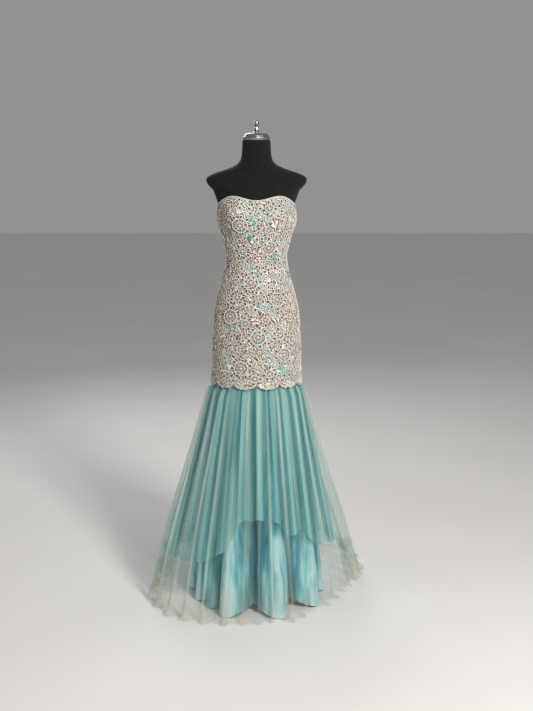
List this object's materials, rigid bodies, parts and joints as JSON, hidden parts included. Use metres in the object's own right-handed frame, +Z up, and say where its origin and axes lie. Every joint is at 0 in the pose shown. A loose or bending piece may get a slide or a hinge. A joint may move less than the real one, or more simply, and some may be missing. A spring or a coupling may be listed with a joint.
{
  "type": "strapless mermaid gown on a limbless dress form and stand",
  "caption": "Strapless sweetheart gown with a fitted corded-lace sheath and a gathered tulle and satin mermaid skirt with a sweep train, worn on a limbless dress form on a round stand.",
  "frame": {"origin": "on the floor, under the middle of the stand's round base", "axes": "+Z up, -Y to the gown's front, +X to the right of the picture, which is the wearer's left; the train lies to +Y"},
  "size_m": [0.8247, 1.1294, 1.7326],
  "materials": {
    "lace": "ivory corded lace over aqua satin, matt with fine sparkle",
    "satin_aqua": "aqua satin with a strong sheen",
    "tulle_aqua": "sheer aqua tulle",
    "tulle_champagne": "sheer pale champagne tulle",
    "form_jersey": "black jersey over a firm form",
    "bright_metal": "bright polished metal",
    "black_metal": "satin black paint"
  },
  "bodies": {
    "gown_and_form": {"lace_front": "lace", "lace_side_front_r": "lace", "lace_side_front_l": "lace", "lace_side_back_r": "lace", "lace_side_back_l": "lace", "lace_back_r": "lace", "lace_back_l": "lace", "tulle_skirt_front": "tulle_champagne", "tulle_skirt_side_front_r": "tulle_champagne", "tulle_skirt_side_front_l": "tulle_champagne", "tulle_skirt_side_back_r": "tulle_champagne", "tulle_skirt_side_back_l": "tulle_champagne", "tulle_skirt_back_r": "tulle_champagne", "tulle_skirt_back_l": "tulle_champagne", "aqua_tulle_front": "tulle_aqua", "aqua_tulle_back_r": "tulle_aqua", "aqua_tulle_back_l": "tulle_aqua", "satin_skirt_front": "satin_aqua", "satin_skirt_side_r": "satin_aqua", "satin_skirt_side_l": "satin_aqua", "satin_skirt_back_r": "satin_aqua", "satin_skirt_back_l": "satin_aqua", "form_torso": "form_jersey", "neck_cap": "bright_metal", "neck_finial": "bright_metal", "stand_pole": "bright_metal", "stand_base": "black_metal", "zip_slider": "bright_metal"},
    "pull_tab": {"zip_pull": "bright_metal"}
  },
  "joints": [
    {"name": "pull_tab_swing", "type": "hinge", "parent": "gown_and_form", "child": "pull_tab", "pos_m": [0, 0.10178, 1.393], "axis": [1, 0, 0], "range_deg": [0, 150]}
  ]
}
